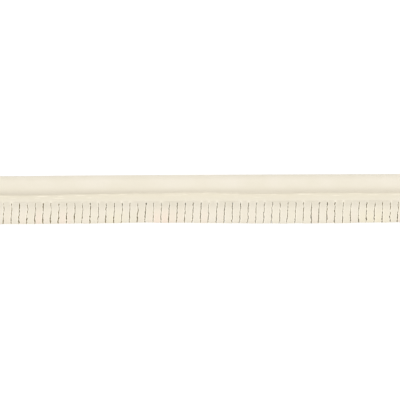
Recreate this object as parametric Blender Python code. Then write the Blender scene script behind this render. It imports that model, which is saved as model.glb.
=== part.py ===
"""A cut length of leather piping, lying on its back.

A strip of upholstery leather is folded round a bead. Its two lips lie on each other, a little
apart, and are slit together from the free edge into a comb of tabs, so that the piping can follow
a curve. The piping runs along X, with the bead on the +Y side and the slit edge on the -Y side.
It rests on Z = 0: on a narrow flat under the bead and on the flat backs of the tabs.

Run it with: blender --background --python part.py
"""

import math
from typing import NamedTuple

import bmesh
import bpy

MM = 0.001

# Driving dimensions, in millimetres.
TOTAL_WIDTH = 12.7  # from the bead's outer side to the free edge
BEAD_DIAMETER = 5.0
LEATHER = 1.0
LIP_GAP = 0.3  # between the two lips
TAB_COUNT = 60
SLIT_PITCH = 2.08
SLIT_LENGTH = 5.3
REST_FLAT = 1.2  # the width of the flat under the bead

# Each slit leans, and opens a little towards the free edge.
SLIT_LEAN = math.radians(3.0)
SLIT_WIDTH_AT_ROOT = 0.12
SLIT_WIDTH_AT_EDGE = 0.30
CUTTER_SLACK = 1.0  # how far the slits' cutters reach past the leather

# The lips leave the bead level, come down to the surface and lie flat at the free edge.
LEVEL_AT_BEAD = 0.8
FLAT_AT_EDGE = 3.2
GAP_START = 0.5  # how far past the crease the gap between the lips starts

# How finely the curves are faceted.
BEAD_FACET = math.radians(13.0)
BEND_STEPS = 6
RINGS_PER_STATION = 2
SHARP_ANGLE = math.radians(30)

# What follows from them. The section is drawn in "across", which is Y from the bead's centre line,
# and "height"; a run is the distance from that centre line towards the free edge.
LENGTH = TAB_COUNT * SLIT_PITCH
RADIUS = BEAD_DIAMETER / 2
BEAD_HEIGHT = math.sqrt(RADIUS**2 - (REST_FLAT / 2) ** 2)  # of the centre line, over the surface
HALF_GAP = LIP_GAP / 2
HALF_LIPS = LEATHER + HALF_GAP
CREASE = math.sqrt(RADIUS**2 - HALF_LIPS**2)  # the run to where the lips meet the bead
FREE_EDGE = TOTAL_WIDTH - RADIUS
BEND_START = CREASE + LEVEL_AT_BEAD
BEND_LENGTH = FREE_EDGE - FLAT_AT_EDGE - BEND_START
BEND_DROP = BEAD_HEIGHT - HALF_LIPS


class Station(NamedTuple):
    """How far the outline strays from straight at one place along the piping, in millimetres."""

    bead_out: float
    crease_in: float
    edge_in: float


# Evenly spaced from the left end to the right end. "In" is towards the bead.
STATIONS = (
    Station(bead_out=-0.08, crease_in=0.05, edge_in=0.02),
    Station(bead_out=-0.08, crease_in=-0.04, edge_in=-0.03),
    Station(bead_out=0.00, crease_in=0.11, edge_in=0.05),
    Station(bead_out=0.04, crease_in=0.21, edge_in=0.22),
    Station(bead_out=0.04, crease_in=0.30, edge_in=0.08),
    Station(bead_out=0.04, crease_in=-0.05, edge_in=-0.07),
    Station(bead_out=0.04, crease_in=0.16, edge_in=-0.07),
    Station(bead_out=0.03, crease_in=0.09, edge_in=-0.03),
    Station(bead_out=0.02, crease_in=0.05, edge_in=0.04),
)


def clear_scene():
    """Removes every object that the scene starts with."""
    for obj in list(bpy.data.objects):
        bpy.data.objects.remove(obj, do_unlink=True)


def leather_material(name, colour, roughness):
    """A plain Principled material in the leather's colour."""
    material = bpy.data.materials.new(name)
    material.use_nodes = True
    shader = material.node_tree.nodes["Principled BSDF"]
    shader.inputs["Base Color"].default_value = (*colour, 1.0)
    shader.inputs["Roughness"].default_value = roughness
    shader.inputs["Metallic"].default_value = 0.0
    return material


def station_at(place):
    """The outline's straying at a place from 0 to 1 along the piping, on a smooth curve."""
    at = place * (len(STATIONS) - 1)
    first = min(int(at), len(STATIONS) - 2)
    share = at - first
    share = share * share * (3 - 2 * share)
    pairs = zip(STATIONS[first], STATIONS[first + 1])
    return Station(*(low + share * (high - low) for low, high in pairs))


def lip_point(run, offset):
    """The point at a run along the bend of the lips and an offset upwards from their middle."""
    share = min(max((run - BEND_START) / BEND_LENGTH, 0.0), 1.0)
    middle = BEAD_HEIGHT - BEND_DROP * share * share * (3 - 2 * share)
    slope = -BEND_DROP * 6 * share * (1 - share) / BEND_LENGTH
    length = math.hypot(1.0, slope)
    return (-run + offset * slope / length, middle + offset / length)


def bead_arc(start, end):
    """Points of the bead's circle between two angles, both ends included."""
    count = max(1, round(abs(end - start) / BEAD_FACET))
    angles = (start + (end - start) * i / count for i in range(count + 1))
    return [(RADIUS * math.cos(a), BEAD_HEIGHT + RADIUS * math.sin(a)) for a in angles]


def bead_points(station):
    """The bead, from the crease in front over its outer side to the crease behind."""
    crease = math.pi - math.asin(HALF_LIPS / RADIUS)
    flat = math.asin(REST_FLAT / 2 / RADIUS)
    down = -math.pi / 2
    pinch = (CREASE - station.crease_in) / CREASE
    points = []
    for across, height in bead_arc(crease, down + flat) + bead_arc(down - flat, -crease):
        if across < 0 and height > BEAD_HEIGHT:
            across *= pinch
        points.append((across + station.bead_out, height))
    return points


def lip_points(station):
    """The two lips, from past the crease behind, round both free edges, to past the crease in front."""
    outer = [BEND_START + BEND_LENGTH * i / BEND_STEPS for i in range(BEND_STEPS + 1)]
    outer.append(FREE_EDGE - station.edge_in)
    inner = [CREASE + GAP_START] + outer[1:]
    back = [lip_point(run, -HALF_LIPS) for run in outer]
    back += [lip_point(run, -HALF_GAP) for run in reversed(inner)]
    front = [lip_point(run, HALF_GAP) for run in inner]
    front += [lip_point(run, HALF_LIPS) for run in reversed(outer)]
    return back + front


def loft(shape, rings):
    """Adds a closed body through rings of points in millimetres, with a flat face on each end."""
    loops = [[shape.verts.new([value * MM for value in point]) for point in ring] for ring in rings]
    for near, far in zip(loops, loops[1:]):
        for i, corner in enumerate(near):
            after = (i + 1) % len(near)
            shape.faces.new((corner, near[after], far[after], far[i]))
    shape.faces.new(loops[0])
    shape.faces.new(loops[-1])


def finished_mesh(name, shape):
    """Turns a bmesh into a mesh whose faces point outwards."""
    bmesh.ops.recalc_face_normals(shape, faces=shape.faces)
    mesh = bpy.data.meshes.new(name)
    shape.to_mesh(mesh)
    shape.free()
    return mesh


def folded_strip_mesh():
    """The strip, folded round the bead and not yet slit."""
    spans = (len(STATIONS) - 1) * RINGS_PER_STATION
    rings = []
    for i in range(spans + 1):
        station = station_at(i / spans)
        along = LENGTH * (i / spans - 0.5)
        outline = bead_points(station) + lip_points(station)
        rings.append([(along, across, height) for across, height in outline])
    shape = bmesh.new()
    loft(shape, rings)
    return finished_mesh("folded_strip", shape)


def slit_mesh():
    """One thin wedge for each slit, from past the free edge to its root, through both lips."""
    lean = math.tan(SLIT_LEAN)
    widening = (SLIT_WIDTH_AT_EDGE - SLIT_WIDTH_AT_ROOT) / SLIT_LENGTH
    shape = bmesh.new()
    for i in range(1, TAB_COUNT):
        middle = (i - TAB_COUNT / 2) * SLIT_PITCH
        corners = []
        for from_root, sides in ((0, (-1, 1)), (SLIT_LENGTH + CUTTER_SLACK, (1, -1))):
            at = middle + lean * (SLIT_LENGTH / 2 - from_root)
            half = (SLIT_WIDTH_AT_ROOT + widening * from_root) / 2
            across = SLIT_LENGTH - FREE_EDGE - from_root
            corners += [(at + side * half, across) for side in sides]
        heights = (-CUTTER_SLACK, BEAD_DIAMETER + CUTTER_SLACK)
        loft(shape, [[(*corner, height) for corner in corners] for height in heights])
    return finished_mesh("slits", shape)


def centring_empty(mesh):
    """An empty that puts the middle of the mesh's width on the X axis."""
    across = [vertex.co.y for vertex in mesh.vertices]
    empty = bpy.data.objects.new("piping_centre", None)
    empty.location.y = -(min(across) + max(across)) / 2
    bpy.context.scene.collection.objects.link(empty)
    return empty


def add_object(name, mesh, parent):
    """Links a mesh into the scene under a parent."""
    obj = bpy.data.objects.new(name, mesh)
    obj.parent = parent
    bpy.context.scene.collection.objects.link(obj)
    return obj


def main():
    """Builds the strip, then cuts the slits through both of its lips."""
    clear_scene()
    strip = folded_strip_mesh()
    strip.materials.append(leather_material("cream_leather", colour=(0.82, 0.75, 0.61), roughness=0.55))
    strip.shade_smooth()
    strip.set_sharp_from_angle(angle=SHARP_ANGLE)
    centre = centring_empty(strip)
    piping = add_object("leather_piping", strip, centre)

    cutter = add_object("slit_cutter", slit_mesh(), centre)
    cutter.hide_render = True
    cutter.display_type = "WIRE"
    cut = piping.modifiers.new("slits", "BOOLEAN")
    cut.operation = "DIFFERENCE"
    cut.solver = "EXACT"
    cut.object = cutter


main()
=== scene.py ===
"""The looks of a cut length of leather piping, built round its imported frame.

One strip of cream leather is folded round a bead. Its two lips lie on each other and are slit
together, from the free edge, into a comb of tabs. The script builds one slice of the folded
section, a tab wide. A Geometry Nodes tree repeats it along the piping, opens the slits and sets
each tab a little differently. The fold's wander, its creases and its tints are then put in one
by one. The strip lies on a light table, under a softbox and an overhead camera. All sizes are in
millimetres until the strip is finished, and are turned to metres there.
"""

import logging
import math
from collections.abc import Mapping, Sequence
from dataclasses import dataclass, field
from enum import Enum
from functools import partial
from typing import Any, NamedTuple

import bmesh
import bpy
import numpy as np
from mathutils import Matrix, Vector


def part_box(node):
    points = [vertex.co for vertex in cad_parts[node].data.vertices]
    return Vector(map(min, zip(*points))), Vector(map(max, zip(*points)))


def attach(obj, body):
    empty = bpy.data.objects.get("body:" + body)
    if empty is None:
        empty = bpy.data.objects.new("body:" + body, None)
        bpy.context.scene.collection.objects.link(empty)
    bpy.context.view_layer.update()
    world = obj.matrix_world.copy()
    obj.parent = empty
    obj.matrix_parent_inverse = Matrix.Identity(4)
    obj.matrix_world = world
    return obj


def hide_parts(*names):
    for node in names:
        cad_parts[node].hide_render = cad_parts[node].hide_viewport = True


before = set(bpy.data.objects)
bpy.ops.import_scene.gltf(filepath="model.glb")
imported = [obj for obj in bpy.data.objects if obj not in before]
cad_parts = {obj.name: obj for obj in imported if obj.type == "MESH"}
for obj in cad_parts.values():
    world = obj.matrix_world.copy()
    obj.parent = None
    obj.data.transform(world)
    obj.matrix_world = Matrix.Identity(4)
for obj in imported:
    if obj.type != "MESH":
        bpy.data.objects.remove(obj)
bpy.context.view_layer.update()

LOG = logging.getLogger("leather_piping")
CAD_NODE = "leather_piping"
PIECE = "leather_piping_strip"
MM = 0.001
TINY = 1e-6
WHITE = (1.0, 1.0, 1.0, 1.0)
FLAT_TOP = 4  # the power that gives a bell curve a flat top

# The kinds of node that come again and again
BUMP = "ShaderNodeBump"
COMBINE = "ShaderNodeCombineXYZ"
MAP_RANGE = "ShaderNodeMapRange"
MATH = "ShaderNodeMath"
MIX = "ShaderNodeMix"
NOISE = "ShaderNodeTexNoise"
RANDOM = "FunctionNodeRandomValue"
READ = "ShaderNodeAttribute"
READ_NAMED = "GeometryNodeInputNamedAttribute"
SET_MATERIAL = "GeometryNodeSetMaterial"
STORE_NAMED = "GeometryNodeStoreNamedAttribute"

Node = bpy.types.Node
Inputs = Sequence[Any] | Mapping[str, Any]


# Small tools


def linear(hex_colour: str) -> tuple[float, float, float, float]:
    """Turns an sRGB hex colour to linear, on the standard curve.

    Args:
        hex_colour: Six hex digits after a hash sign.

    Returns:
        Linear red, green and blue, and an alpha of 1.
    """
    values = [int(hex_colour[i : i + 2], 16) / 255 for i in (1, 3, 5)]
    red, green, blue = (v / 12.92 if v <= 0.04045 else ((v + 0.055) / 1.055) ** 2.4 for v in values)
    return red, green, blue, 1.0


def smoothstep(value: float) -> float:
    """Returns 0 below 0, 1 above 1 and a curve with level ends between."""
    value = min(max(value, 0.0), 1.0)
    return value * value * (3 - 2 * value)


def hump(distance: float, width: float) -> float:
    """Returns a bell curve: 1 at no distance, and about a third at the width."""
    return math.exp(-((distance / width) ** 2))


def bunched(start: float, end: float, steps: int) -> list[float]:
    """Returns places from start to end, a little closer together towards both ends."""
    even = (i / steps for i in range(steps + 1))
    return [start + (end - start) * (2 * at + (1 - math.cos(math.pi * at)) / 2) / 3 for at in even]


def path_length(points: Sequence[Sequence[float]]) -> float:
    """Returns the length of a line through points."""
    return sum(math.dist(near, far) for near, far in zip(points, points[1:]))


def read_attribute(mesh: bpy.types.Mesh, name: str) -> np.ndarray:
    """Reads an attribute of a mesh's points.

    Args:
        mesh: The mesh.
        name: The attribute's name.

    Returns:
        A value for each point, or a row of three where the attribute holds vectors.
    """
    attribute = mesh.attributes[name]
    holds_vectors = attribute.data_type == "FLOAT_VECTOR"
    values = np.empty(len(attribute.data) * (3 if holds_vectors else 1), np.float32)
    attribute.data.foreach_get("vector" if holds_vectors else "value", values)
    return values.reshape(-1, 3) if holds_vectors else values


def add_object(name: str, mesh: bpy.types.Mesh) -> bpy.types.Object:
    """Links a mesh into the scene as an object at the origin.

    Args:
        name: The object's name.
        mesh: Its mesh.

    Returns:
        The new object.
    """
    made = bpy.data.objects.new(name, mesh)
    bpy.context.scene.collection.objects.link(made)
    return made


def add_material(name: str) -> tuple[bpy.types.Material, bpy.types.NodeTree, Node]:
    """Adds a material that holds nothing but its shader.

    Args:
        name: The material's name.

    Returns:
        The material, its node tree and its shader.
    """
    made = bpy.data.materials.new(name)
    made.use_nodes = True
    return made, made.node_tree, made.node_tree.nodes["Principled BSDF"]


def add_node(tree: bpy.types.NodeTree, kind: str, inputs: Inputs = (), **settings: Any) -> Node:
    """Adds one node with its settings and links.

    Args:
        tree: The tree that takes the node.
        kind: The node's type name.
        inputs: What goes into its sockets, by position or by name. A socket or a node is linked,
            a node by its first output. None leaves a socket as it is, and anything else is its value.
        **settings: The node's own settings, set before its sockets are filled.

    Returns:
        The new node.
    """
    node = tree.nodes.new(kind)
    for name, value in settings.items():
        setattr(node, name, value)
    shown = [socket for socket in node.inputs if socket.enabled]
    if isinstance(inputs, Mapping):
        pairs = [(next(s for s in shown if s.name == name), value) for name, value in inputs.items()]
    else:
        pairs = list(zip(shown, inputs))
    for socket, value in pairs:
        if isinstance(value, Node):
            value = next(output for output in value.outputs if output.enabled)
        if isinstance(value, bpy.types.NodeSocket):
            tree.links.new(value, socket)
        elif value is not None:
            socket.default_value = value
    return node


# What the strip's points carry


class Mark(Enum):
    """The named attributes of the strip: what the tree, the pressing and the finishes read."""

    SHARE = "share"  # place across the tab, 0 at its left slit and 1 at its right slit
    DEPTH = "depth"  # millimetres past the slits' roots, below 0 on the bead and the unslit band
    OPENING = "opening"  # how open a slit stands there
    DOT = "dot"  # the small round end of a slit
    SWAY = "sway"  # how far the leather follows the slits sideways
    FREE = "free"  # how free the tab is: 0 at its root, 1 at its free edge
    TRIM = "trim"  # the tab's last stretch, where its cut length shows
    RIM = "rim"  # the leather pushed up round a slit's root
    FRONT = "front"  # 1 on the front lip
    SKIN = "skin"  # the grain side as seen from the front: 1 where it faces up
    NEAR_BEAD = "near_bead"  # what strays with the bead
    NEAR_CREASE = "near_crease"  # what strays with the crease
    NEAR_EDGE = "near_edge"  # what strays with the free edge
    IN_CREASE = "in_crease"  # the foot of the bead's flank, just above the crease, where light is painted in
    FLANK = "flank"  # the bead's flank over the crease, painted darker: painted shade
    FOLD_SIDES = "fold_sides"  # the bead's and the lip's flanks that face each other, painted with warm shade
    GATHER = "gather"  # where the front lip is gathered along the crease
    WEAR = "wear"  # edges and creases that rub, and ridges, rims and the crease painted paler: painted highlights and painted light
    DRIED = "dried"  # the cut leather painted darker and greyer near the free edges and at the ends: painted shade in the slits' open ends
    AROUND = "around"  # millimetres round the section on the leather's surface


OUTWARD = "outward"  # away from the leather
TAB = "tab"  # a tab's number, from the left
CUT = "cut"  # faces on the flesh side or made by a blade
TONE = "tone"  # how far the leather leans to the blush, above 0, or to the straw, below 0; on the fold's flanks the straw is painted warm shade
FLAT = "flat_strip"  # the flat strip's own coordinates, in millimetres

# What places a slit's sides, what else the tree reads, and what the finishes read
SLIT_MARKS = (Mark.DEPTH, Mark.OPENING, Mark.DOT, Mark.FRONT)
TREE_MARKS = (
    *SLIT_MARKS, Mark.SHARE, Mark.SWAY, Mark.FREE, Mark.TRIM, Mark.RIM, Mark.SKIN, Mark.NEAR_CREASE,
    Mark.WEAR, Mark.AROUND,
)
GRAIN_READS = (FLAT, TONE, Mark.GATHER.value, Mark.FLANK.value, Mark.WEAR.value)
FINISH_READS = (*GRAIN_READS, Mark.DRIED.value)


# Finishes


@dataclass(frozen=True)
class GrainLeather:
    """Pigmented full-grain upholstery leather: its grain side.

    A pigment coat over the hide leaves only a faint mottle and takes a soft, broad sheen. The
    grain is a net of fine creases between flat cells, and where the leather is bent along the
    crease of the fold it gathers in short wrinkles.
    """

    colour: str = "#D6CFC0"
    mottle: str = "#D3CCBB"
    blush: str = "#DCCDBD"
    # also the colour of the painted warm shade on the fold's flanks
    straw: str = "#D8D0BA"
    # painted shade on the bead's flank over the crease
    settled: str = "#D1C9B8"
    # pale where edges rub, and painted highlights on the ridges and rims and painted light in the crease
    worn: str = "#EEE7D6"
    mottle_mm: float = 7.0
    rub_mm: float = 2.0
    patch_span: tuple[float, float] = (0.35, 0.65)  # the noise values from none to a full patch
    least_rubbed: float = 0.6
    cell_mm: float = 0.45
    cell_slope: float = 0.16  # the part of a cell that slopes down to its crease
    grain_depth_mm: float = 0.012
    wrinkle_mm: tuple[float, float] = (2.4, 0.3)  # along the fold and across it
    wrinkle_depth_mm: float = 0.05
    noise_detail: float = 3.0
    roughness: float = 0.5
    roughness_spread: float = 0.06
    ior: float = 1.47

    def material(self) -> bpy.types.Material:
        """Builds the material on the strip's own flat coordinates.

        Returns:
            The material.
        """
        made, tree, shader = add_material("pigmented full-grain leather")
        node = partial(add_node, tree)
        shader.inputs["IOR"].default_value = self.ior
        read = {name: node(READ, attribute_name=name) for name in GRAIN_READS}
        marked = {name: reader.outputs["Fac"] for name, reader in read.items()}
        on_strip = {"Vector": read[FLAT].outputs["Vector"], "Detail": self.noise_detail}

        # The coat's colour: mottled and tinted, the straw tint also painting warm shade on the fold's
        # flanks; darker on the bead's flank over the crease, a painted shade; and paler where edges rub,
        # with painted highlights on the ridges and rims and painted light in the crease.
        mottle = node(NOISE, {**on_strip, "Scale": 1 / self.mottle_mm})
        rub_and_highlight = node(NOISE, {**on_strip, "Scale": 1 / self.rub_mm})
        rub_and_highlight = node(MAP_RANGE, (rub_and_highlight, *self.patch_span, self.least_rubbed, 1.0))
        colour = linear(self.colour)
        for tint, share in (
            (self.mottle, node(MAP_RANGE, (mottle, *self.patch_span))),
            (self.blush, node(MAP_RANGE, (marked[TONE], 0.0, 1.0))),
            (self.straw, node(MAP_RANGE, (marked[TONE], 0.0, -1.0))),
            (self.settled, marked[Mark.FLANK.value]),
            (self.worn, node(MATH, (rub_and_highlight, marked[Mark.WEAR.value]), operation="MULTIPLY")),
        ):
            colour = node(MIX, (share, colour, linear(tint)), data_type="RGBA")
        tree.links.new(colour.outputs["Result"], shader.inputs["Base Color"])

        # The grain's net of creases, and the wrinkles of the fold over it.
        cells = {"Vector": on_strip["Vector"], "Scale": 1 / self.cell_mm}
        net = node("ShaderNodeTexVoronoi", cells, feature="DISTANCE_TO_EDGE")
        net = node(MAP_RANGE, (net, 0.0, self.cell_slope), interpolation_type="SMOOTHSTEP")
        grain = {"Height": net, "Strength": 1.0, "Distance": self.grain_depth_mm * MM}
        along, across = self.wrinkle_mm
        drawn_out = {"Vector": on_strip["Vector"], "Scale": (1 / along, 1 / across, 1.0)}
        drawn_out = node("ShaderNodeMapping", drawn_out)
        wrinkles = node(NOISE, {**on_strip, "Vector": drawn_out, "Scale": 1.0})
        wrinkles = node(MATH, (wrinkles, marked[Mark.GATHER.value]), operation="MULTIPLY")
        folds = {
            "Height": wrinkles,
            "Strength": 1.0,
            "Distance": self.wrinkle_depth_mm * MM,
            "Normal": node(BUMP, grain),
        }
        tree.links.new(node(BUMP, folds).outputs["Normal"], shader.inputs["Normal"])

        dull, smooth = self.roughness + self.roughness_spread, self.roughness - self.roughness_spread
        sheen = node(MAP_RANGE, (net, 0.0, 1.0, dull, smooth))
        tree.links.new(sheen.outputs["Result"], shader.inputs["Roughness"])
        return made


@dataclass(frozen=True)
class CutLeather:
    """The same leather where a blade has cut it, and its flesh side: matt, short-fibred buff.

    At the free edge and the two ends it is painted darker and greyer: painted shade in the slits' open
    ends.
    """

    colour: str = "#DED2AB"
    fibre: str = "#CFBF96"
    # painted shade: darker and greyer near the free edges and at the ends
    dried: str = "#CCC1A6"
    fibre_mm: float = 0.15  # drawn coarser than the real fibres, which are too fine to show
    nap_mm: float = 0.03
    noise_detail: float = 4.0
    roughness: float = 0.9

    def material(self) -> bpy.types.Material:
        """Builds the material on Object coordinates.

        Returns:
            The material.
        """
        made, tree, shader = add_material("cut leather edge")
        node = partial(add_node, tree)
        shader.inputs["Roughness"].default_value = self.roughness
        place = node("ShaderNodeTexCoord").outputs["Object"]
        strands = {"Vector": place, "Scale": 1 / (self.fibre_mm * MM), "Detail": self.noise_detail}
        fibres = node(NOISE, strands)
        # Darker and greyer near the free edges and at the ends: painted shade in the slits' open ends.
        cut_shade_share = node(READ, attribute_name=Mark.DRIED.value).outputs["Fac"]
        colour = linear(self.colour)
        for tint, share in ((self.fibre, fibres), (self.dried, cut_shade_share)):
            colour = node(MIX, (share, colour, linear(tint)), data_type="RGBA")
        tree.links.new(colour.outputs["Result"], shader.inputs["Base Color"])
        nap = node(BUMP, {"Height": fibres, "Strength": 1.0, "Distance": self.nap_mm * MM})
        tree.links.new(nap.outputs["Normal"], shader.inputs["Normal"])
        return made


@dataclass(frozen=True)
class BacklitAcrylic:
    """Opal acrylic lit from below: an even white that hardly takes a shadow."""

    colour: str = "#7F7F7F"
    glow: float = 0.82
    roughness: float = 0.95

    def material(self) -> bpy.types.Material:
        """Builds the plain material.

        Returns:
            The material.
        """
        made, _, shader = add_material("backlit opal acrylic")
        shader.inputs["Base Color"].default_value = linear(self.colour)
        shader.inputs["Roughness"].default_value = self.roughness
        shader.inputs["Emission Color"].default_value = WHITE
        shader.inputs["Emission Strength"].default_value = self.glow
        return made


# The folded section and one slice of it


class Zone(Enum):
    """The stretches of the section, in the order in which its outline runs."""

    FRONT_GRAIN = 1
    BEAD = 2
    BACK_GRAIN = 3
    BACK_FLESH = 4
    FRONT_FLESH = 5


class Spot(NamedTuple):
    """One point of the section's outline, in millimetres."""

    zone: Zone
    across: float  # Y from the bead's centre line
    height: float
    run: float  # distance from the bead's centre line towards the free edge
    outward: tuple[float, float]


class Slope(NamedTuple):
    """How steeply the lips come down at one distance from the bead's centre line."""

    run: float
    degrees: float


@dataclass
class FoldedSection:
    """The strip's section, folded round the bead: its sizes in millimetres and its outline."""

    width: float  # from the bead's outer side to the free edge
    bead_diameter: float = 5.0
    bead_squareness: float = 2.75  # 2 is a circle: a folded strip flattens its cord a little
    leather: float = 1.0
    lip_gap: float = 0.3  # between the two lips
    slit_length: float = 5.45
    rest_flat: float = 1.2  # the width of the flat under the bead
    crease_radius: float = 0.3
    flat_at_edge: float = 3.2  # the last stretch of the lips
    gap_start: float = 0.5  # how far past the crease the gap between the lips starts
    flare: float = 0.18  # how far the front tabs stand off the back ones at the free edge
    flare_start: float = 2.3  # past the slits' roots
    flare_length: float = 2.0
    edge_drop: float = 0.22  # how far the free edge is rounded over
    edge_drop_length: float = 0.8
    root_groove: float = 0.05  # how deep a shallow groove along the roots is
    root_groove_width: float = 0.35
    slopes: tuple[Slope, ...] = (
        Slope(run=2.3, degrees=9.0),
        Slope(run=3.9, degrees=9.5),
        Slope(run=4.4, degrees=23.5),
        Slope(run=5.0, degrees=22.5),
        Slope(run=5.9, degrees=9.5),
        Slope(run=7.0, degrees=0.0),
    )

    # How finely the outline is stepped
    bead_steps: int = 38
    crease_steps: int = 8
    band_steps: int = 32
    slit_steps: int = 30
    back_band_steps: int = 6
    flesh_band_steps: int = 4

    def __post_init__(self) -> None:
        """Works out the section's places from its driving sizes."""
        self.radius = self.bead_diameter / 2
        self.bead_height = math.sqrt(self.radius**2 - (self.rest_flat / 2) ** 2)
        self.half_gap = self.lip_gap / 2
        self.half_lips = self.leather + self.half_gap
        self.free_edge = self.width - self.radius
        self.root = self.free_edge - self.slit_length
        self.fall_scale = (self.bead_height - self.half_lips) / self.fall(self.free_edge)[0]
        self.crease_angle = self.find_crease()
        across, height, away = self.bead_place(self.crease_angle)
        self.crease = -across
        self.fillet_run = -across - away[0] * self.crease_radius
        self.fillet_height = height + away[1] * self.crease_radius
        self.fillet_turn = math.acos(away[1])

    @property
    def cut_width(self) -> float:
        """The width that the strip is cut to, along the middle of its thickness.

        Returns:
            The width in millimetres.
        """
        bead = [(spot.across, spot.height) for spot in self.bead_spots()]
        turned = math.pi + 2 * self.fillet_turn
        lip_runs = bunched(self.fillet_run, self.free_edge, self.slit_steps)
        lip = [(run, self.middle_height(run)) for run in lip_runs]
        return path_length(bead) - turned * self.leather / 2 + 2 * path_length(lip)

    def bead_place(self, angle: float) -> tuple[float, float, tuple[float, float]]:
        """Finds a point of the bead's outline.

        Args:
            angle: The angle round the bead's centre, from its outer side upwards.

        Returns:
            How far the point lies across and up from the centre, and the way out of the bead.
        """
        side, up = math.cos(angle), math.sin(angle)
        power = self.bead_squareness
        reach = self.radius * (abs(side) ** power + abs(up) ** power) ** (-1 / power)
        away = Vector([math.copysign(abs(part) ** (power - 1), part) for part in (side, up)])
        return reach * side, reach * up, tuple(away.normalized())

    def find_crease(self) -> float:
        """Finds by halving where the crease's hollow arc meets the bead.

        Returns:
            The angle round the bead's centre.
        """
        low, high = math.pi / 2, math.pi
        while high - low > TINY:
            angle = (low + high) / 2
            _, height, away = self.bead_place(angle)
            if height + away[1] * self.crease_radius > self.half_lips + self.crease_radius:
                low = angle
            else:
                high = angle
        return high

    def fall(self, run: float) -> tuple[float, float]:
        """Adds up how far the slopes bring the lips down.

        Args:
            run: A distance from the bead's centre line.

        Returns:
            The fall as far as that, and how steep the lips are there.
        """
        fallen = 0.0
        steep = math.tan(math.radians(self.slopes[0].degrees))
        for near, far in zip(self.slopes, self.slopes[1:]):
            share = min(max((run - near.run) / (far.run - near.run), 0.0), 1.0)
            start, end = (math.tan(math.radians(slope.degrees)) for slope in (near, far))
            here = start + (end - start) * share
            fallen += (start + here) / 2 * share * (far.run - near.run)
            steep = here if share > 0 else steep
        return fallen, steep

    def middle_height(self, run: float) -> float:
        """The height of the middle between the lips at a run."""
        return self.bead_height - self.fall_scale * self.fall(run)[0]

    def lip_spot(self, zone: Zone, run: float, offset: float, side: int) -> Spot:
        """Places a point on one face of a lip.

        Args:
            zone: The face that it is on.
            run: Its distance from the bead's centre line.
            offset: Its distance above the middle between the lips.
            side: 1 where the face looks up, and -1 where it looks down.

        Returns:
            The point.
        """
        slope = -self.fall_scale * self.fall(run)[1]
        steepness = math.hypot(1.0, slope)
        outward = (side * slope / steepness, side / steepness)
        return Spot(zone, -run, self.middle_height(run) + offset * steepness, run, outward)

    def flare_rise(self, run: float) -> float:
        """How far the front lip stands off the back one, past the gap: its tabs flare up."""
        return self.flare * smoothstep((run - self.root - self.flare_start) / self.flare_length)

    def front_relief(self, run: float) -> float:
        """Works out the front lip's own relief: flare, a groove along the roots, a rounded edge.

        Args:
            run: A distance from the bead's centre line.

        Returns:
            How far the relief lifts the grain side there.
        """
        groove = self.root_groove * hump(run - self.root, self.root_groove_width)
        rounding = max(1 - (self.free_edge - run) / self.edge_drop_length, 0.0)
        return self.flare_rise(run) - groove - self.edge_drop * rounding**2

    def crease_spots(self, zone: Zone, side: int) -> list[Spot]:
        """Follows the tight hollow arc between the bead and a lip.

        Args:
            zone: The face that the arc belongs to.
            side: 1 for the crease in front, and -1 for the one behind.

        Returns:
            Its points, from the lip to the bead.
        """
        spots = []
        for i in range(self.crease_steps + 1):
            turn = self.fillet_turn * i / self.crease_steps
            away = (-math.sin(turn), math.cos(turn))
            across = -self.fillet_run - away[0] * self.crease_radius
            rise = self.fillet_height - away[1] * self.crease_radius
            height = self.bead_height + side * rise
            spots.append(Spot(zone, across, height, -across, outward=(away[0], side * away[1])))
        return spots

    def bead_spots(self) -> list[Spot]:
        """Follows the bead between its two creases.

        Returns:
            Its points, from the front over the outer side to the back.
        """
        spots = []
        for i in range(1, self.bead_steps):
            across, height, away = self.bead_place(self.crease_angle * (1 - 2 * i / self.bead_steps))
            height = max(self.bead_height + height, 0.0)
            spots.append(Spot(Zone.BEAD, across, height, -across, outward=away))
        return spots

    def outline(self) -> list[Spot]:
        """Follows the whole section, from the front lip's free edge round the bead and back.

        Returns:
            The points of the closed outline, one zone after another.
        """
        neck = self.crease + self.gap_start
        slit_runs = bunched(self.root, self.free_edge, self.slit_steps)[1:]
        front_runs = bunched(self.fillet_run, self.root, self.band_steps)[1:] + slit_runs
        back_runs = bunched(self.fillet_run, self.root, self.back_band_steps)[1:] + slit_runs
        flesh_runs = bunched(neck, self.root, self.flesh_band_steps) + slit_runs
        front = [
            self.lip_spot(Zone.FRONT_GRAIN, run, self.half_lips + self.front_relief(run), 1)
            for run in front_runs
        ]
        back = [self.lip_spot(Zone.BACK_GRAIN, run, -self.half_lips, -1) for run in back_runs]
        back_flesh = [self.lip_spot(Zone.BACK_FLESH, run, -self.half_gap, 1) for run in flesh_runs]
        front_flesh = [
            self.lip_spot(Zone.FRONT_FLESH, run, self.half_gap + self.flare_rise(run), -1)
            for run in flesh_runs
        ]
        return (
            front[::-1]
            + self.crease_spots(Zone.FRONT_GRAIN, 1)
            + self.bead_spots()
            + self.crease_spots(Zone.BACK_GRAIN, -1)[::-1]
            + back
            + back_flesh[::-1]
            + front_flesh
        )


class OpeningAt(NamedTuple):
    """How open a slit stands at one place, as a share of its full gap."""

    along: float  # the share of the slit's length, from its root
    open: float


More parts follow.
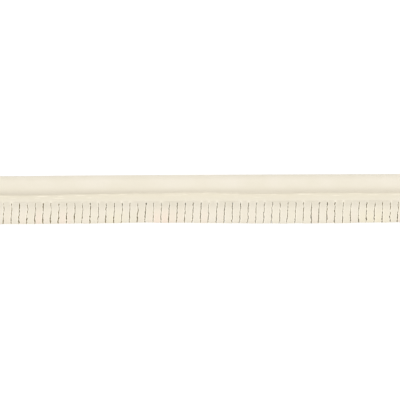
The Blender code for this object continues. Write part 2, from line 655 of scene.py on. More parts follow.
@dataclass
class TabSlice:
    """One slice of the folded strip, a tab wide, with its marks."""

    section: FoldedSection
    pitch: float
    columns: tuple[float, ...] = (0.0, 0.06, 0.17, 0.5, 0.83, 0.94, 1.0)  # across the tab
    first_gap: float = 0.01  # keeps two tabs' sides apart until the tree opens the slit
    edge_roll: float = 0.06  # how far a tab's edges are pressed down by the blade
    edge_roll_share: float = 0.14  # how much of a tab's width rolls down at each side
    crown: float = 0.03  # how much higher a tab's middle is than its sides
    root_stretch: float = 0.3  # how soon past its root a tab's edges have their full shape
    dot_length: float = 0.35
    rim_width: float = 0.32
    rim_above: float = 0.12  # how far above the root the rim is highest
    sway_length: float = 1.5
    trim_length: float = 0.6
    gather_ends: float = 1.15  # above 1, the gathering ends before the roots
    crease_pull: float = 0.9  # how far round the crease the leather follows it
    fold_sides: float = 1.8  # how far round the crease the fold's two flanks reach, where warm shade is painted
    flank: float = 0.6  # how wide the painted shade on the bead's flank is
    flank_up: float = 0.44  # how far its middle lies from the crease, towards the bead
    flank_foot: float = 0.22  # and the same of the flank's foot
    flank_foot_up: float = 0.08
    opening: tuple[OpeningAt, ...] = (
        OpeningAt(along=0.0, open=0.0),
        OpeningAt(along=0.04, open=0.84),
        OpeningAt(along=0.35, open=0.76),
        OpeningAt(along=0.55, open=0.8),
        OpeningAt(along=0.8, open=1.22),
        OpeningAt(along=1.0, open=1.36),
    )

    def open_at(self, depth: float) -> float:
        """Looks up how open a slit stands.

        Args:
            depth: A distance past the slit's root.

        Returns:
            Its gap there, as a share of its full gap.
        """
        along = depth / self.section.slit_length
        for near, far in zip(self.opening, self.opening[1:]):
            if near.along <= along <= far.along:
                share = (along - near.along) / (far.along - near.along)
                return near.open + (far.open - near.open) * smoothstep(share)
        return self.opening[-1].open if along > 1 else 0.0

    def edge_share(self, share: float) -> float:
        """Returns 1 at a slit, falling to 0 where the tab's rolled edge ends."""
        return max(1 - min(share, 1 - share) / self.edge_roll_share, 0.0)

    def marks(self, spot: Spot, share: float) -> dict[Mark, float]:
        """Works out what a point of the slice carries, apart from its length round the section.

        Args:
            spot: The point of the outline.
            share: Its place across the tab, from 0 to 1.

        Returns:
            The value of each mark.
        """
        section = self.section
        depth = spot.run - section.root
        left = section.free_edge - spot.run
        past_crease = spot.run - section.crease
        crease_top = section.bead_height + section.half_lips
        crease_gap = math.hypot(past_crease, spot.height - crease_top)
        gathered = past_crease / (section.root - section.crease) * self.gather_ends
        from_slit = min(share, 1 - share) * self.pitch
        near_edge = smoothstep(1 - left / section.flat_at_edge)
        on_lip = float(spot.zone is not Zone.BEAD)
        front = float(spot.zone in (Zone.FRONT_GRAIN, Zone.FRONT_FLESH))
        grain_front = float(spot.zone is Zone.FRONT_GRAIN)
        above = float(spot.height > section.bead_height and spot.zone in (Zone.FRONT_GRAIN, Zone.BEAD))
        return {
            Mark.SHARE: share,
            Mark.DEPTH: depth,
            Mark.OPENING: self.open_at(depth),
            Mark.DOT: hump(depth - self.dot_length / 2, self.dot_length / 2) * float(depth > TINY),
            Mark.SWAY: smoothstep(1 + depth / self.sway_length) * on_lip,
            Mark.FREE: smoothstep(depth / section.slit_length) * on_lip,
            Mark.TRIM: smoothstep(1 - left / self.trim_length) * on_lip,
            Mark.RIM: hump(math.hypot(depth + self.rim_above, from_slit), self.rim_width) * grain_front,
            Mark.FRONT: front,
            Mark.SKIN: max(spot.outward[1], 0.0) * above,
            Mark.NEAR_BEAD: 1 - smoothstep(past_crease / self.sway_length),
            Mark.NEAR_CREASE: hump(crease_gap, self.crease_pull) * above,
            Mark.NEAR_EDGE: near_edge * on_lip,
            Mark.IN_CREASE: hump(past_crease + self.flank_foot_up, self.flank_foot) * above,
            Mark.FLANK: hump(past_crease + self.flank_up, self.flank) * above,
            Mark.FOLD_SIDES: hump(crease_gap, self.fold_sides) * above,
            Mark.GATHER: math.sin(math.pi * min(max(gathered, 0.0), 1.0)) * grain_front,
            Mark.WEAR: self.edge_share(share) * smoothstep(depth / self.root_stretch),
            Mark.DRIED: near_edge * on_lip,
        }

    def place(self, spot: Spot, share: float) -> Vector:
        """Places a point of the slice.

        Args:
            spot: The point of the outline.
            share: Its place across the tab, from 0 to 1.

        Returns:
            Where it lies before the tree moves it.
        """
        section = self.section
        depth = spot.run - section.root
        along = share * self.pitch
        inward = 0.0
        if depth > TINY:
            along += self.first_gap * (1 - 2 * share)
            if spot.zone in (Zone.FRONT_GRAIN, Zone.BACK_GRAIN):
                pressed = self.edge_share(share) ** 2 * smoothstep(depth / self.root_stretch)
                inward = self.edge_roll * pressed
            if spot.zone is Zone.FRONT_GRAIN:
                inward += self.crown * (2 * share - 1) ** 2 * smoothstep(depth / self.sway_length)
        return Vector((along, spot.across, spot.height)) - Vector((0.0, *spot.outward)) * inward

    def mesh(self) -> bpy.types.Mesh:
        """Builds the slice.

        Returns:
            A mesh that is closed along the slits, and open at both sides on the bead and the band.
        """
        outline = self.section.outline()
        count = len(outline)
        shape = bmesh.new()
        layers = {mark: shape.verts.layers.float.new(mark.value) for mark in Mark}
        outward = shape.verts.layers.float_vector.new(OUTWARD)
        cut = shape.faces.layers.bool.new(CUT)
        grid = []
        for share in self.columns:
            column = []
            around = 0.0
            before = outline[0]
            for spot in outline:
                around += math.hypot(spot.across - before.across, spot.height - before.height)
                before = spot
                vertex = shape.verts.new(self.place(spot, share))
                vertex[outward] = Vector((0.0, *spot.outward))
                vertex[layers[Mark.AROUND]] = around
                for mark, value in self.marks(spot, share).items():
                    vertex[layers[mark]] = value
                column.append(vertex)
            grid.append(column)

        flesh = (Zone.FRONT_FLESH, Zone.BACK_FLESH)
        for left, right in zip(grid, grid[1:]):
            for i in range(count):
                after = (i + 1) % count
                face = shape.faces.new((left[i], right[i], right[after], left[after]))
                face[cut] = outline[i].zone in flesh or outline[after].zone in flesh
        for column in (grid[0], grid[-1]):
            for corners in self.slit_walls(outline, column):
                shape.faces.new(corners)[cut] = True
        bmesh.ops.recalc_face_normals(shape, faces=shape.faces)
        made = bpy.data.meshes.new("tab slice")
        shape.to_mesh(made)
        shape.free()
        return made

    def slit_walls(
        self, outline: list[Spot], column: list[bmesh.types.BMVert]
    ) -> list[tuple[bmesh.types.BMVert, ...]]:
        """Lists the corners of the faces that close both lips at one side of the tab.

        Args:
            outline: The section's outline.
            column: The slice's points at that side, in the outline's order.

        Returns:
            Four points for each face, from the slits' roots to the free edges.
        """
        walls = []
        for grain, flesh in ((Zone.FRONT_GRAIN, Zone.FRONT_FLESH), (Zone.BACK_GRAIN, Zone.BACK_FLESH)):
            outer, inner = (
                [
                    vertex
                    for spot, vertex in sorted(zip(outline, column), key=lambda pair: pair[0].run)
                    if spot.zone is zone and spot.run > self.section.root - TINY
                ]
                for zone in (grain, flesh)
            )
            walls += zip(outer, outer[1:], inner[1:], inner)
        return walls


# The comb: a tree that repeats the slice and opens the slits


WAVER_NOISE = {"Detail": 4.0, "Roughness": 0.8}  # small jerks on a slow sway
FRAY_NOISE = {"Detail": 3.0, "Roughness": 0.6}  # torn fibres
HIDE_NOISE = {"Detail": 1.5}  # broad and soft
NOISE_SPAN = (0.3, 0.7)  # nearly all of a noise texture's values lie between these
NOISE_CORE = (0.37, 0.63)  # most of them lie between these
NOISE_APART = 13.7  # far enough for two slits' noise to have nothing in common
BOTH_WAYS = (-1.0, 1.0)  # the span of a share that goes either way


class Chance(Enum):
    """The random draws, each with how far its seed lies from the comb's seed."""

    STRAY = 0.0
    GAP = 1.0
    DOT = 2.0
    LIFT = 10.0
    ROLL = 11.0
    TRIM = 12.0
    TONE = 13.0
    RIM = 14.0


SLIT_CHANCES = (Chance.STRAY, Chance.GAP, Chance.DOT)
TAB_CHANCES = (Chance.LIFT, Chance.ROLL, Chance.TRIM, Chance.TONE)
RIM_LEAST = -0.4  # drawn from here to 1, and below 0 there is no rim


class Wiring(NamedTuple):
    """The comb's tree while it is put together."""

    tree: bpy.types.NodeTree
    given: dict[str, bpy.types.NodeSocket]  # the comb's sizes, by name
    mark: dict[Mark, Node]  # what the slice's points carry
    place: Node  # where they lie by then, as X, Y and Z


@dataclass
class SlitComb:
    """The node tree that repeats the slice and sets slits and tabs. Its fields are its inputs.

    Sizes are in millimetres. What differs from slit to slit or from tab to tab goes up to its
    size both ways.
    """

    tabs: int
    pitch: float
    slit_length: float
    lean: float = math.tan(math.radians(3.0))
    gap: float = 0.19
    gap_spread: float = 0.27  # as a share of the gap
    back_gap: float = 0.4  # the blade tapers, so the back lip is cut narrower
    back_aside: float = 0.16  # and the back tabs lie a little to one side of the front ones
    waver: float = 0.2
    waver_per_mm: float = 0.9
    raggedness: float = 0.75  # 0 leaves the gap even, and 1 lets it close here and double there
    ragged_per_mm: float = 3.4
    stray: float = 0.035  # off the slit's own place
    root_dot: float = 0.1  # the radius of the largest round end
    rim: float = 0.06  # the height of the highest rim
    lift: float = 0.07
    roll: float = 0.05
    trim: float = 0.05
    tone_spread: float = 0.3
    bumpiness: float = 0.022
    bumps_per_mm: float = 0.16
    fold_waver: float = 0.07
    fold_waver_per_mm: float = 0.14
    weld: float = 0.002  # how near two points have to be to become one
    seed: int = 11

    def sizes(self) -> dict[str, float]:
        """The tree's inputs by name: each field's name in plain words, and its value."""
        return {name.replace("_", " ").capitalize(): value for name, value in vars(self).items()}

    def add_inputs(self, tree: bpy.types.NodeTree) -> dict[str, bpy.types.NodeSocket]:
        """Adds an input for each size to a tree.

        Args:
            tree: The tree or group.

        Returns:
            The sizes' sockets inside the tree, by name.
        """
        for name, value in self.sizes().items():
            kind = "NodeSocketInt" if isinstance(value, int) else "NodeSocketFloat"
            tree.interface.new_socket(name=name, in_out="INPUT", socket_type=kind)
        given = add_node(tree, "NodeGroupInput")
        return {socket.name: socket for socket in given.outputs if socket.name}

    def slit_group(self) -> bpy.types.NodeTree:
        """Builds the group that works out one slit, from its number and a point's marks.

        Returns:
            A group with two outputs: how far the slit lies to the right of its place, and half of
            how far it stands open, both in millimetres.
        """
        tree = bpy.data.node_groups.new("one slit", "GeometryNodeTree")
        node = partial(add_node, tree)
        tree.interface.new_socket(name="Slit", in_out="INPUT", socket_type="NodeSocketInt")
        for mark in SLIT_MARKS:
            tree.interface.new_socket(name=mark.value, in_out="INPUT", socket_type="NodeSocketFloat")
        for name in ("Aside", "Half gap"):
            tree.interface.new_socket(name=name, in_out="OUTPUT", socket_type="NodeSocketFloat")
        given = self.add_inputs(tree)
        slit, front = given["Slit"], given[Mark.FRONT.value]
        down = node(MATH, (given[Mark.DEPTH.value], 0.0), operation="MAXIMUM")
        drawn = {}
        for chance in SLIT_CHANCES:
            seed = node(MATH, (given["Seed"], chance.value), operation="ADD")
            spread = {"ID": slit, "Seed": seed, "Min": -1.0, "Max": 1.0}
            drawn[chance] = node(RANDOM, spread, data_type="FLOAT")

        # The strip's two ends aren't slits, so nothing moves there.
        middle = node(MATH, (given["Tabs"], 0.5), operation="MULTIPLY")
        from_middle = node(MATH, (slit, middle), operation="SUBTRACT")
        from_middle = node(MATH, (from_middle,), operation="ABSOLUTE")
        from_end = node(MATH, (middle, from_middle), operation="SUBTRACT")
        inner = node(MATH, (from_end, 0.5), operation="GREATER_THAN")

        # It leans to one side, lies a little off its place and wavers as a hand-held blade does.
        half_length = node(MATH, (given["Slit length"], 0.5), operation="MULTIPLY")
        from_half = node(MATH, (half_length, down), operation="SUBTRACT")
        apart = node(MATH, (slit, NOISE_APART), operation="MULTIPLY")
        spot = node(COMBINE, (apart, down, given["Seed"]))
        waver = node(NOISE, {"Vector": spot, "Scale": given["Waver per mm"], **WAVER_NOISE})
        waver = node(MAP_RANGE, (waver, *NOISE_SPAN, *BOTH_WAYS))
        behind = node(MATH, (1.0, front), operation="SUBTRACT")
        aside = 0.0
        for amount, share in (
            ("Lean", from_half),
            ("Stray", drawn[Chance.STRAY]),
            ("Waver", waver),
            ("Back aside", behind),
        ):
            aside = node(MATH, (given[amount], share, aside), operation="MULTIPLY_ADD")
        aside = node(MATH, (aside, inner), operation="MULTIPLY")

        # Its gap has a size of its own, an uneven edge, and on some slits a small round end.
        size = node(MATH, (drawn[Chance.GAP], given["Gap spread"], 1.0), operation="MULTIPLY_ADD")
        ragged = node(NOISE, {"Vector": spot, "Scale": given["Ragged per mm"], **FRAY_NOISE})
        ragged = node(MAP_RANGE, (ragged, *NOISE_CORE, *BOTH_WAYS))
        ragged = node(MATH, (ragged, given["Raggedness"], 1.0), operation="MULTIPLY_ADD")
        half = node(MATH, (given["Gap"], 0.5), operation="MULTIPLY")
        taper = node(MIX, (front, given["Back gap"], 1.0))
        for share in (size, ragged, given[Mark.OPENING.value], taper):
            half = node(MATH, (half, share), operation="MULTIPLY")
        dot = node(MATH, (drawn[Chance.DOT], 0.0), operation="MAXIMUM")
        dot = node(MATH, (dot, given["Root dot"]), operation="MULTIPLY")
        half = node(MATH, (dot, given[Mark.DOT.value], half), operation="MULTIPLY_ADD")
        half = node(MATH, (half, inner), operation="MULTIPLY")
        node("NodeGroupOutput", (aside, half))
        return tree

    def lay_out(self, wiring: Wiring) -> Node:
        """Repeats the slice, numbers the tabs and keeps the flat strip's own coordinates.

        Args:
            wiring: The tree.

        Returns:
            The node that gives the row of slices.
        """
        given, node = wiring.given, partial(add_node, wiring.tree)
        half_count = node(MATH, (given["Tabs"], -0.5), operation="MULTIPLY")
        start = node(MATH, (half_count, given["Pitch"]), operation="MULTIPLY")
        line = {
            "Count": given["Tabs"],
            "Start Location": node(COMBINE, (start,)),
            "Offset": node(COMBINE, (given["Pitch"],)),
        }
        tabs = {"Points": node("GeometryNodeMeshLine", line), "Instance": given["Geometry"]}
        tabs = node("GeometryNodeInstanceOnPoints", tabs)
        number = {"Geometry": tabs, "Name": TAB, "Value": node("GeometryNodeInputIndex")}
        numbered = node(STORE_NAMED, number, data_type="INT", domain="INSTANCE")
        real = node("GeometryNodeRealizeInstances", (numbered,))
        flat = node(COMBINE, (wiring.place, wiring.mark[Mark.AROUND]))
        return node(
            STORE_NAMED, {"Geometry": real, "Name": FLAT, "Value": flat}, data_type="FLOAT_VECTOR"
        )

    def set_tabs(self, wiring: Wiring, strip: Node) -> Node:
        """Opens the slits, and gives each tab its lift, roll, length and tone and each slit a rim.

        Args:
            wiring: The tree.
            strip: The node that gives the row of slices.

        Returns:
            The node that gives the same row with its slits and tabs set.
        """
        given, mark, node = wiring.given, wiring.mark, partial(add_node, wiring.tree)
        tab = node(READ_NAMED, {"Name": TAB}, data_type="INT")
        share = mark[Mark.SHARE]

        # What lies between the slits at a tab's two sides is shared out between them.
        sides = {name: socket for name, socket in given.items() if name != "Geometry"}
        sides |= {m.value: mark[m] for m in SLIT_MARKS}
        group = self.slit_group()
        next_slit = node(MATH, (tab, 1.0), operation="ADD")
        left, right = (
            node("GeometryNodeGroup", {**sides, "Slit": slit}, node_tree=group) for slit in (tab, next_slit)
        )
        aside = node(MIX, (share, left.outputs["Aside"], right.outputs["Aside"]))
        closing = node(MATH, (right.outputs["Half gap"], -1.0), operation="MULTIPLY")
        gap = node(MIX, (share, left.outputs["Half gap"], closing))
        along = node(MATH, (aside, mark[Mark.SWAY], gap), operation="MULTIPLY_ADD")

        side = node(MATH, (share,), operation="ROUND")
        nearest_slit = node(MATH, (side, tab), operation="ADD")
        drawn = {}
        for chance in (*TAB_CHANCES, Chance.RIM):
            number, least = (nearest_slit, RIM_LEAST) if chance is Chance.RIM else (tab, -1.0)
            seed = node(MATH, (given["Seed"], chance.value), operation="ADD")
            spread = {"ID": number, "Seed": seed, "Min": least, "Max": 1.0}
            drawn[chance] = node(RANDOM, spread, data_type="FLOAT")
        rim = node(MATH, (drawn[Chance.RIM], 0.0), operation="MAXIMUM")
        from_middle = node(MATH, (share, 2.0, -1.0), operation="MULTIPLY_ADD")
        roll = node(MATH, (drawn[Chance.ROLL], from_middle), operation="MULTIPLY")
        front_free = node(MATH, (mark[Mark.FREE], mark[Mark.FRONT]), operation="MULTIPLY")
        rise = 0.0
        for amount, by, where in (
            ("Lift", drawn[Chance.LIFT], front_free),
            ("Roll", roll, front_free),
            ("Rim", rim, mark[Mark.RIM]),
        ):
            size = node(MATH, (given[amount], by), operation="MULTIPLY")
            rise = node(MATH, (size, where, rise), operation="MULTIPLY_ADD")
        across = node(MATH, (given["Trim"], drawn[Chance.TRIM]), operation="MULTIPLY")
        across = node(MATH, (across, mark[Mark.TRIM]), operation="MULTIPLY")
        offset = node(COMBINE, (along, across, rise))
        made = node("GeometryNodeSetPosition", {"Geometry": strip, "Offset": offset})

        tone = node(MATH, (drawn[Chance.TONE], given["Tone spread"]), operation="MULTIPLY")
        tone = node(MATH, (tone, mark[Mark.FREE]), operation="MULTIPLY")
        # Paler where the tab's edges rub, and on the rims round the roots: painted highlights.
        wear = node(MATH, (rim, mark[Mark.RIM], mark[Mark.WEAR]), operation="MULTIPLY_ADD")
        for name, value in ((TONE, tone), (Mark.WEAR.value, wear)):
            stored = {"Geometry": made, "Name": name, "Value": value}
            made = node(STORE_NAMED, stored, data_type="FLOAT")
        return made

    def make_skin(self, wiring: Wiring, strip: Node) -> Node:
        """Joins the slices into one skin, a little uneven as hide is, with a wavering crease.

        Args:
            wiring: The tree.
            strip: The node that gives the slices.

        Returns:
            The node that gives the skin.
        """
        given, mark, node = wiring.given, wiring.mark, partial(add_node, wiring.tree)
        joined = node("GeometryNodeMergeByDistance", {"Geometry": strip, "Distance": given["Weld"]})
        outward = node(READ_NAMED, {"Name": OUTWARD}, data_type="FLOAT_VECTOR")
        along_only = node(COMBINE, (wiring.place,))
        pushes = []
        for amount, scale, vector, where in (
            ("Bumpiness", "Bumps per mm", None, mark[Mark.SKIN]),
            ("Fold waver", "Fold waver per mm", along_only, mark[Mark.NEAR_CREASE]),
        ):
            uneven = node(NOISE, {"Vector": vector, "Scale": given[scale], **HIDE_NOISE})
            uneven = node(MAP_RANGE, (uneven, *NOISE_SPAN, *BOTH_WAYS))
            size = node(MATH, (uneven, given[amount]), operation="MULTIPLY")
            pushes.append(node(MATH, (size, where), operation="MULTIPLY"))
        swell, waver = pushes
        swell = node("ShaderNodeVectorMath", {"Vector": outward, "Scale": swell}, operation="SCALE")
        waver = node(COMBINE, (None, waver))
        pushed = node("ShaderNodeVectorMath", (swell, waver), operation="ADD")
        return node("GeometryNodeSetPosition", {"Geometry": joined, "Offset": pushed})

    def tree(self, grain: bpy.types.Material, cut: bpy.types.Material) -> bpy.types.NodeTree:
        """Builds the comb's tree.

        Args:
            grain: The finish of the grain side.
            cut: The finish of the flesh side and the slits' walls.

        Returns:
            A tree that turns one slice into the whole strip.
        """
        tree = bpy.data.node_groups.new("slit comb", "GeometryNodeTree")
        node = partial(add_node, tree)
        for in_out in ("INPUT", "OUTPUT"):
            tree.interface.new_socket(name="Geometry", in_out=in_out, socket_type="NodeSocketGeometry")
        wiring = Wiring(
            tree=tree,
            given=self.add_inputs(tree),
            mark={m: node(READ_NAMED, {"Name": m.value}, data_type="FLOAT") for m in TREE_MARKS},
            place=node("ShaderNodeSeparateXYZ", (node("GeometryNodeInputPosition"),)),
        )
        skin = self.make_skin(wiring, self.set_tabs(wiring, self.lay_out(wiring)))
        dressed = node(SET_MATERIAL, {"Geometry": skin, "Material": grain})
        is_cut = node(READ_NAMED, {"Name": CUT}, data_type="BOOLEAN")
        dressed = {"Geometry": dressed, "Selection": is_cut, "Material": cut}
        node("NodeGroupOutput", (node(SET_MATERIAL, dressed),))
        return tree

    def repeat(
        self, tab_slice: bpy.types.Mesh, grain: bpy.types.Material, cut: bpy.types.Material
    ) -> bpy.types.Mesh:
        """Runs the tree on the slice.

        Args:
            tab_slice: One slice of the strip.
            grain: The finish of the grain side.
            cut: The finish of the flesh side and the slits' walls.

        Returns:
            The whole strip as a plain mesh, open at its two ends.
        """
        holder = add_object("tab slice", tab_slice)
        comb = holder.modifiers.new("slit comb", "NODES")
        comb.node_group = self.tree(grain, cut)
        sizes = self.sizes()
        for item in comb.node_group.interface.items_tree:
            if item.name in sizes:
                comb[item.identifier] = sizes[item.name]
        shown = holder.evaluated_get(bpy.context.evaluated_depsgraph_get())
        made = bpy.data.meshes.new_from_object(shown)
        bpy.data.objects.remove(holder)
        return made


# The whole strip


class Station(NamedTuple):
    """How the fold lies at one place along the piping: how far it strays, in millimetres."""

    bead_out: float
    crease_in: float
    edge_in: float
    crease_pale: float  # painted light in the crease, from 0 to 1: how much paler the crease's foot is painted


class Crease(NamedTuple):
    """A soft ridge that the fold has pressed into the front lip, in millimetres."""

    along: float  # its middle, from the middle of the piping
    run: float  # from the bead's centre line
    length: float
    height: float
    slant: float = 0.0  # how far it climbs towards the free edge for each millimetre along


class Tint(NamedTuple):
    """A stretch of tabs whose leather is a little off colour."""

    along: float  # its middle, in millimetres from the middle of the piping
    length: float
    tone: float  # above 0 towards the blush, below 0 towards the straw


@dataclass
class LeatherPiping:
    """The folded strip: its slice, its comb, its wander, its creases and its tints."""

    length: float
    low_side: float
    high_side: float
    pitch: float = 2.08
    bead_radius: float = 2.5
    bead_most: float = 0.04  # how far the solid's bead and free edge stray past straight
    edge_most: float = 0.07
    crease_width: float = 0.1
    crease_out: float = 0.2  # how much further from the bead the crease lies than the section's
    held_rise: float = 3.0  # how soon the creases have their full height, inside the gathering
    full_wear_height: float = 0.1  # a crease as high as this is painted palest: a painted highlight on its ridge
    end_reach: float = 0.05  # how near an end a point lies on its cut
    fold_straw: float = 0.65  # painted warm shade: how far the fold's two flanks lean to the straw
    sharp_degrees: float = 38.0
    grain: GrainLeather = field(default_factory=GrainLeather)
    cut: CutLeather = field(default_factory=CutLeather)

    # Evenly spaced from the left end to the right end. "In" is towards the bead.
    stations: tuple[Station, ...] = (
        Station(bead_out=-0.08, crease_in=0.05, edge_in=0.02, crease_pale=0.00),
        Station(bead_out=-0.08, crease_in=-0.04, edge_in=-0.04, crease_pale=0.00),
        Station(bead_out=0.00, crease_in=0.11, edge_in=0.01, crease_pale=0.10),
        Station(bead_out=0.04, crease_in=0.21, edge_in=0.20, crease_pale=0.35),
        Station(bead_out=0.04, crease_in=0.30, edge_in=0.04, crease_pale=0.75),
        Station(bead_out=0.04, crease_in=-0.05, edge_in=-0.19, crease_pale=0.20),
        Station(bead_out=0.04, crease_in=0.16, edge_in=-0.19, crease_pale=0.30),
        Station(bead_out=0.03, crease_in=0.09, edge_in=-0.08, crease_pale=0.30),
        Station(bead_out=0.02, crease_in=0.05, edge_in=0.00, crease_pale=0.20),
    )
    creases: tuple[Crease, ...] = (
        Crease(along=-58.5, run=2.9, length=3.0, height=0.05),
        Crease(along=-53.5, run=2.99, length=5.0, height=0.07),
        Crease(along=-49.8, run=3.0, length=2.6, height=0.03),
        Crease(along=-49.2, run=3.48, length=1.6, height=0.04),
        Crease(along=-42.9, run=3.56, length=1.2, height=0.05),
        Crease(along=-41.8, run=3.0, length=3.2, height=0.11),
        Crease(along=-37.2, run=3.55, length=2.4, height=0.11),
        Crease(along=-36.8, run=3.03, length=1.3, height=0.08),
        Crease(along=-32.9, run=2.5, length=2.1, height=0.07, slant=-0.02),
        Crease(along=-31.5, run=2.79, length=2.8, height=0.09),
        Crease(along=-29.2, run=3.46, length=1.3, height=0.06),
        Crease(along=-25.5, run=2.63, length=2.8, height=0.07, slant=0.05),
        Crease(along=-22.7, run=2.78, length=2.9, height=0.03),
        Crease(along=-20.5, run=2.57, length=1.7, height=0.08),
        Crease(along=-7.0, run=2.82, length=4.2, height=0.03),
        Crease(along=-6.6, run=2.42, length=3.4, height=0.04),
        Crease(along=-4.0, run=2.67, length=1.4, height=0.04),
        Crease(along=1.4, run=2.43, length=1.4, height=0.1),
        Crease(along=6.5, run=2.69, length=1.9, height=0.05),
        Crease(along=8.9, run=2.7, length=1.9, height=0.06),
        Crease(along=12.2, run=2.43, length=4.7, height=0.05),
        Crease(along=14.7, run=3.49, length=2.0, height=0.05),
        Crease(along=17.7, run=2.74, length=6.3, height=0.07),
        Crease(along=21.4, run=3.05, length=1.2, height=0.03),
        Crease(along=27.2, run=2.75, length=3.8, height=0.08),
        Crease(along=30.3, run=2.98, length=2.4, height=0.03, slant=0.08),
        Crease(along=35.5, run=3.08, length=1.9, height=0.1),
        Crease(along=40.7, run=2.65, length=3.3, height=0.05, slant=-0.03),
        Crease(along=45.1, run=2.86, length=2.8, height=0.08),
        Crease(along=52.0, run=2.89, length=4.4, height=0.06),
        Crease(along=57.8, run=2.9, length=3.4, height=0.05),
    )
    tints: tuple[Tint, ...] = (
        Tint(along=-43.0, length=2.6, tone=0.8),
        Tint(along=-36.0, length=4.2, tone=0.9),
        Tint(along=-22.5, length=4.2, tone=-1.0),
        Tint(along=-10.3, length=8.4, tone=0.8),
        Tint(along=0.9, length=2.2, tone=0.4),
        Tint(along=46.0, length=8.6, tone=-1.0),
    )

    def __post_init__(self) -> None:
        """Works out the section, the bead's line and the number of tabs from the frame's box."""
        width = self.high_side - self.low_side - self.bead_most - self.edge_most
        self.section = FoldedSection(width=width, bead_diameter=2 * self.bead_radius)
        self.bead_line = self.high_side - self.bead_radius - self.bead_most
        self.tabs = round(self.length / self.pitch)

    def stray_at(self, along: np.ndarray) -> Station:
        """Follows the stations on smooth curves.

        Args:
            along: Each point's place, in millimetres from the middle of the piping.

        Returns:
            How far the fold strays at each point.
        """
        last = len(self.stations) - 1
        at = np.clip((along / self.length + 0.5) * last, 0, last)
        first = np.minimum(at.astype(int), last - 1)
        share = at - first
        share = share * share * (3 - 2 * share)
        table = np.array(self.stations)
        values = table[first] + (table[first + 1] - table[first]) * share[:, None]
        return Station(*values.T)

    def crease_heights(self, along: np.ndarray, run: np.ndarray) -> np.ndarray:
        """Adds up the soft ridges of the front lip.

        Args:
            along: Each point's place, in millimetres from the middle of the piping.
            run: Its distance from the bead's centre line.

        Returns:
            How high the ridges stand at each point.
        """
        height = np.zeros(len(along))
        for crease in self.creases:
            aside = (along - crease.along) / (crease.length / 2)
            middle = crease.run + crease.slant * (along - crease.along)
            off = (run - middle) / self.crease_width
            height += crease.height * np.exp(-(aside**FLAT_TOP) - off**2)
        return height

    def press(self, strip: bpy.types.Mesh) -> None:
        """Gives the strip its wander and its creases, and then its pale and off-colour places: painted
        highlights on the creases, painted light in the crease and painted warm shade on the fold's flanks.

        Args:
            strip: The strip's mesh, in millimetres, which is changed.
        """
        marks = {mark: read_attribute(strip, mark.value) for mark in Mark}
        outward = read_attribute(strip, OUTWARD)
        points = read_attribute(strip, "position")
        along = points[:, 0].copy()
        stray = self.stray_at(along)
        inward = (
            stray.bead_out * marks[Mark.NEAR_BEAD]
            + (stray.crease_in - self.crease_out) * marks[Mark.NEAR_CREASE]
            + stray.edge_in * marks[Mark.NEAR_EDGE]
        )
        height = self.crease_heights(along, marks[Mark.DEPTH] + self.section.root - inward)
        height *= np.clip(marks[Mark.GATHER] * self.held_rise, 0, 1)
        points[:, 1] += inward
        points += outward * height[:, None]
        strip.vertices.foreach_set("co", points.ravel())

        # Paler where edges rub, with painted light along the crease and painted highlights on the ridges.
        worn = np.maximum(marks[Mark.WEAR], stray.crease_pale * marks[Mark.IN_CREASE])
        worn = np.maximum(worn, np.clip(height / self.full_wear_height, 0, 1))
        # The fold's two flanks lean to the straw: painted warm shade.
        tone = read_attribute(strip, TONE) - self.fold_straw * marks[Mark.FOLD_SIDES]
        for tint in self.tints:
            aside = (along - tint.along) / (tint.length / 2)
            tone += tint.tone * np.exp(-(aside**FLAT_TOP)) * marks[Mark.FREE]
        for name, values in ((Mark.WEAR.value, worn), (TONE, tone)):
            strip.attributes[name].data.foreach_set("value", values.astype(np.float32))

    def close_ends(self, strip: bpy.types.Mesh, cut_index: int) -> None:
        """Closes the strip's two ends with a flat cut and points its faces outwards.

        Args:
            strip: The strip's mesh, which is changed.
            cut_index: The material index of the cut finish.
        """
        shape = bmesh.new()
        shape.from_mesh(strip)
        rims = [edge for edge in shape.edges if edge.is_boundary]
        for face in bmesh.ops.edgenet_fill(shape, edges=rims)["faces"]:
            face.material_index = cut_index
        # The end cuts are painted the same darker, greyer colour.
        dried = shape.verts.layers.float[Mark.DRIED.value]
        for vertex in shape.verts:
            if abs(vertex.co.x) > self.length / 2 - self.end_reach:
                vertex[dried] = 1.0
        bmesh.ops.recalc_face_normals(shape, faces=shape.faces)
        still_open = sum(not edge.is_manifold for edge in shape.edges)
        LOG.info("ends closed: %d open rim edges, %d left open", len(rims), still_open)
        shape.to_mesh(strip)
        shape.free()

    def build(self) -> bpy.types.Object:
        """Builds the strip, dresses it and moves it to its place in the frame.

        Returns:
            The finished piece.
        """
        grain, cut = self.grain.material(), self.cut.material()
        comb = SlitComb(tabs=self.tabs, pitch=self.pitch, slit_length=self.section.slit_length)
        strip = comb.repeat(TabSlice(self.section, self.pitch).mesh(), grain, cut)
        self.press(strip)
        self.close_ends(strip, list(strip.materials).index(cut))
        strip.transform(Matrix.Scale(MM, 4) @ Matrix.Translation((0.0, self.bead_line, 0.0)))
        for name in [*(mark.value for mark in Mark), OUTWARD, CUT, TAB]:
            if name not in FINISH_READS:
                strip.attributes.remove(strip.attributes[name])
        strip.shade_smooth()
        strip.set_sharp_from_angle(angle=math.radians(self.sharp_degrees))
        strip.name = PIECE
        return add_object(PIECE, strip)


# The studio


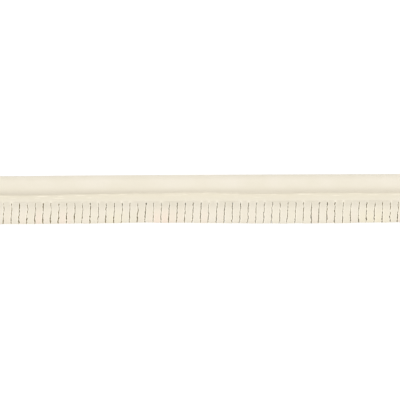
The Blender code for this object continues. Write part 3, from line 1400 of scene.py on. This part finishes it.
@dataclass
class Studio:
    """A light table, an even white surround and one large softbox, with the camera overhead.

    Its sizes are in metres, apart from the one that says otherwise.
    """

    middle: Vector  # of what is shown
    aside_mm: tuple[float, float, float] = (-0.18, -0.24, 0.0)  # from there to where the camera aims
    acrylic: BacklitAcrylic = field(default_factory=BacklitAcrylic)
    floor_size: float = 40.0  # so wide that even a low view doesn't meet its rim
    surround: float = 0.93
    box_size: float = 0.7
    box_distance: float = 0.9
    box_tilt_degrees: float = 11.0
    box_watts: float = 3.7
    lens: float = 100.0
    view_width: float = 0.1054
    view_roll_degrees: float = 0.25

    def build(self) -> bpy.types.Object:
        """Builds the floor, the lights and the camera.

        Returns:
            The floor.
        """
        bpy.context.scene.view_settings.view_transform = "Standard"
        self.target = self.middle + Vector(self.aside_mm) * MM
        self.add_surround()
        self.add_softbox()
        self.add_camera()
        return self.add_floor()

    def add_floor(self) -> bpy.types.Object:
        """Lays the light table's top flat at height zero.

        Returns:
            The floor.
        """
        shape = bmesh.new()
        bmesh.ops.create_grid(shape, x_segments=1, y_segments=1, size=self.floor_size / 2)
        mesh = bpy.data.meshes.new("acrylic floor")
        shape.to_mesh(mesh)
        shape.free()
        mesh.materials.append(self.acrylic.material())
        return add_object("acrylic_floor", mesh)

    def add_surround(self) -> None:
        """Lights everything evenly, as white walls and a white ceiling do."""
        world = bpy.data.worlds.new("white surround")
        world.use_nodes = True
        background = world.node_tree.nodes["Background"]
        background.inputs["Color"].default_value = WHITE
        background.inputs["Strength"].default_value = self.surround
        bpy.context.scene.world = world

    def add_softbox(self) -> None:
        """Hangs a softbox over the bead's side, so that the bead is shaded towards its crease."""
        light = bpy.data.lights.new("softbox", "AREA")
        light.size = self.box_size
        light.energy = self.box_watts
        tilt = math.radians(self.box_tilt_degrees)
        softbox = bpy.data.objects.new("softbox", light)
        away = Vector((0.0, math.sin(tilt), math.cos(tilt)))
        softbox.location = self.target + away * self.box_distance
        softbox.rotation_euler = (-tilt, 0.0, 0.0)
        bpy.context.scene.collection.objects.link(softbox)

    def add_camera(self) -> None:
        """Sets the camera straight above, with the whole width of the view on the piping."""
        camera = bpy.data.cameras.new("overhead camera")
        camera.lens = self.lens
        holder = bpy.data.objects.new("overhead camera", camera)
        distance = self.view_width * self.lens / camera.sensor_width
        holder.location = self.target + Vector((0.0, 0.0, distance))
        holder.rotation_euler = (0.0, 0.0, -math.radians(self.view_roll_degrees))
        bpy.context.scene.collection.objects.link(holder)
        bpy.context.scene.camera = holder


def main() -> None:
    logging.basicConfig(level=logging.INFO, format="%(name)s: %(message)s")
    low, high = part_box(CAD_NODE)

    piping = LeatherPiping(
        length=(high.x - low.x) / MM, low_side=low.y / MM, high_side=high.y / MM
    )
    piece = piping.build()
    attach(piece, "root")
    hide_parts(CAD_NODE)
    piping.section.cut_width * MM
    LOG.info("%s: %d tabs, %d faces", piece.name, piping.tabs, len(piece.data.polygons))

    studio = Studio(middle=(low + high) / 2)
    floor = studio.build()
    LOG.info("%s: %.1f m wide", floor.name, studio.floor_size)


if __name__ == "__main__":
    main()
